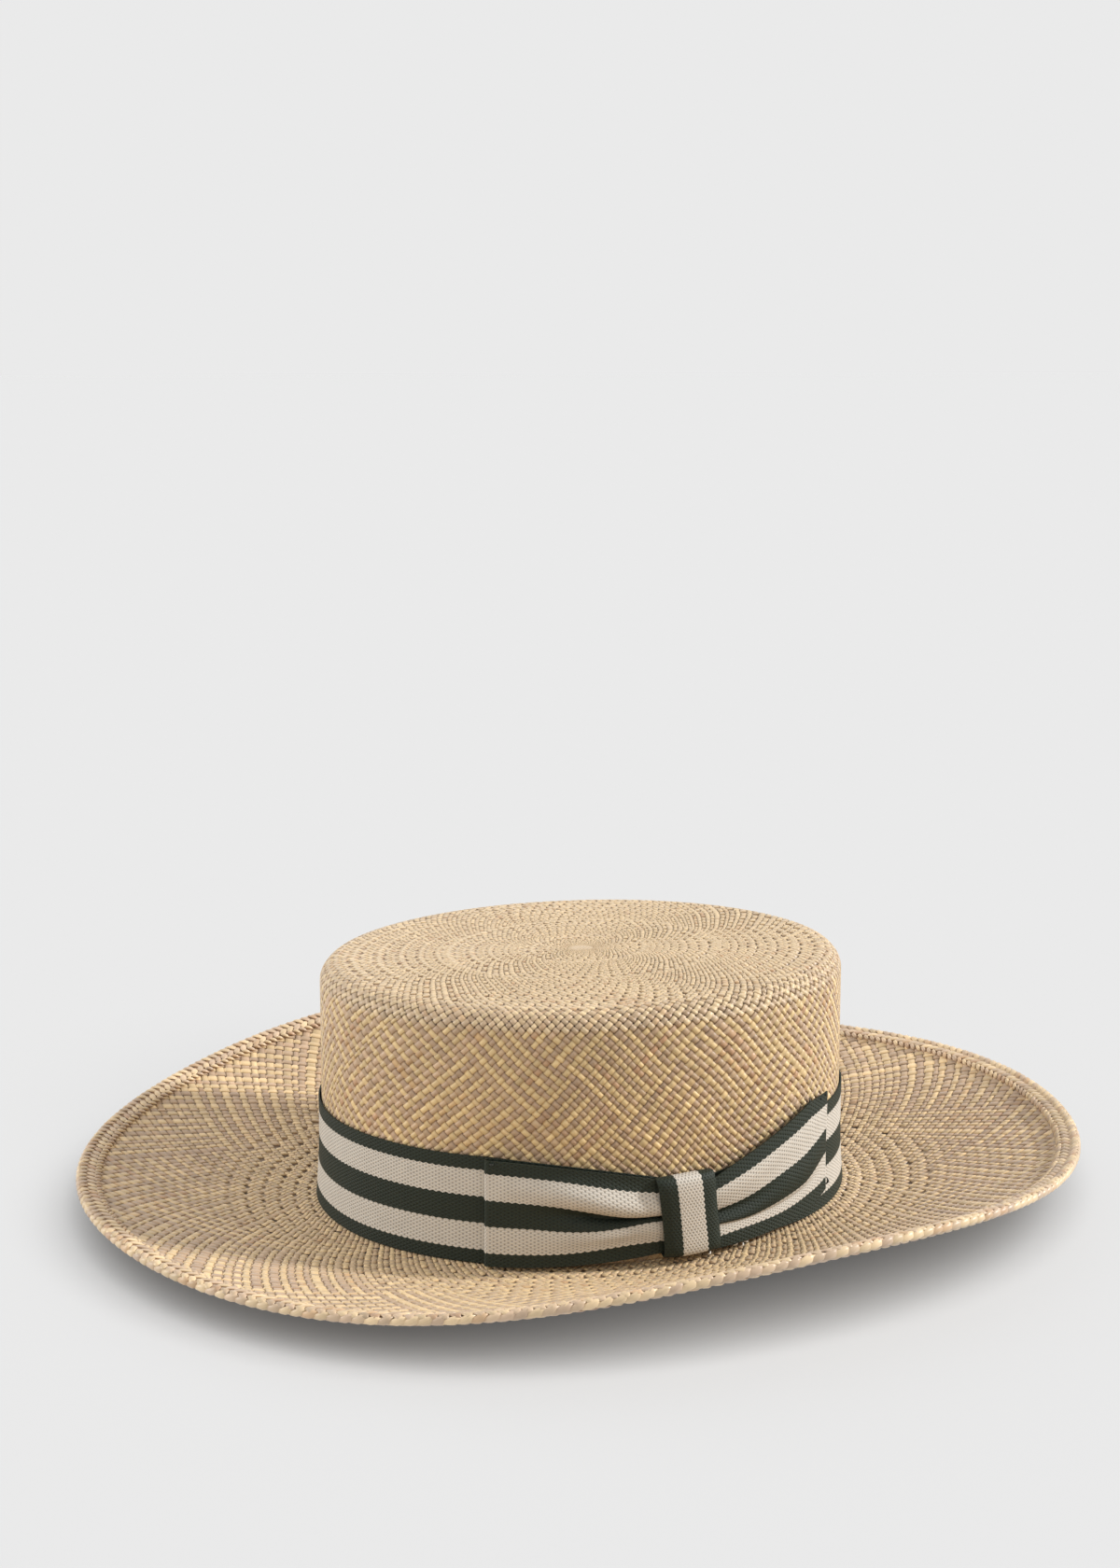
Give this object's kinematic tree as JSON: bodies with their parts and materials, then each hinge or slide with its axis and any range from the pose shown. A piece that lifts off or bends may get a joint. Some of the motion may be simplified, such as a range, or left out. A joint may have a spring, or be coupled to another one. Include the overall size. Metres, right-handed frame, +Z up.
{
  "type": "straw boater hat",
  "caption": "Woven straw boater with a flat-topped crown, a wide upturned brim with a plaited edge, and a striped ribbon band with a flat bow.",
  "frame": {"origin": "on the surface the hat stands on, under the middle of the crown", "axes": "+Z up through the crown, the hat's front towards -Y, the wearer's left and the bow towards +X"},
  "size_m": [0.3393, 0.381, 0.094],
  "materials": {
    "straw": "plain-woven natural straw in cream and taupe strands, satin",
    "straw_edge": "plaited and rope-twisted natural straw, satin",
    "ribbon": "matt grosgrain ribbon in dark green and cream stripes"
  },
  "bodies": {
    "root": {"crown": "straw", "brim": "straw", "edge_braid": "straw_edge", "hat_band": "ribbon", "bow_loop": "ribbon", "bow_knot": "ribbon", "bow_tail": "ribbon"}
  },
  "joints": []
}
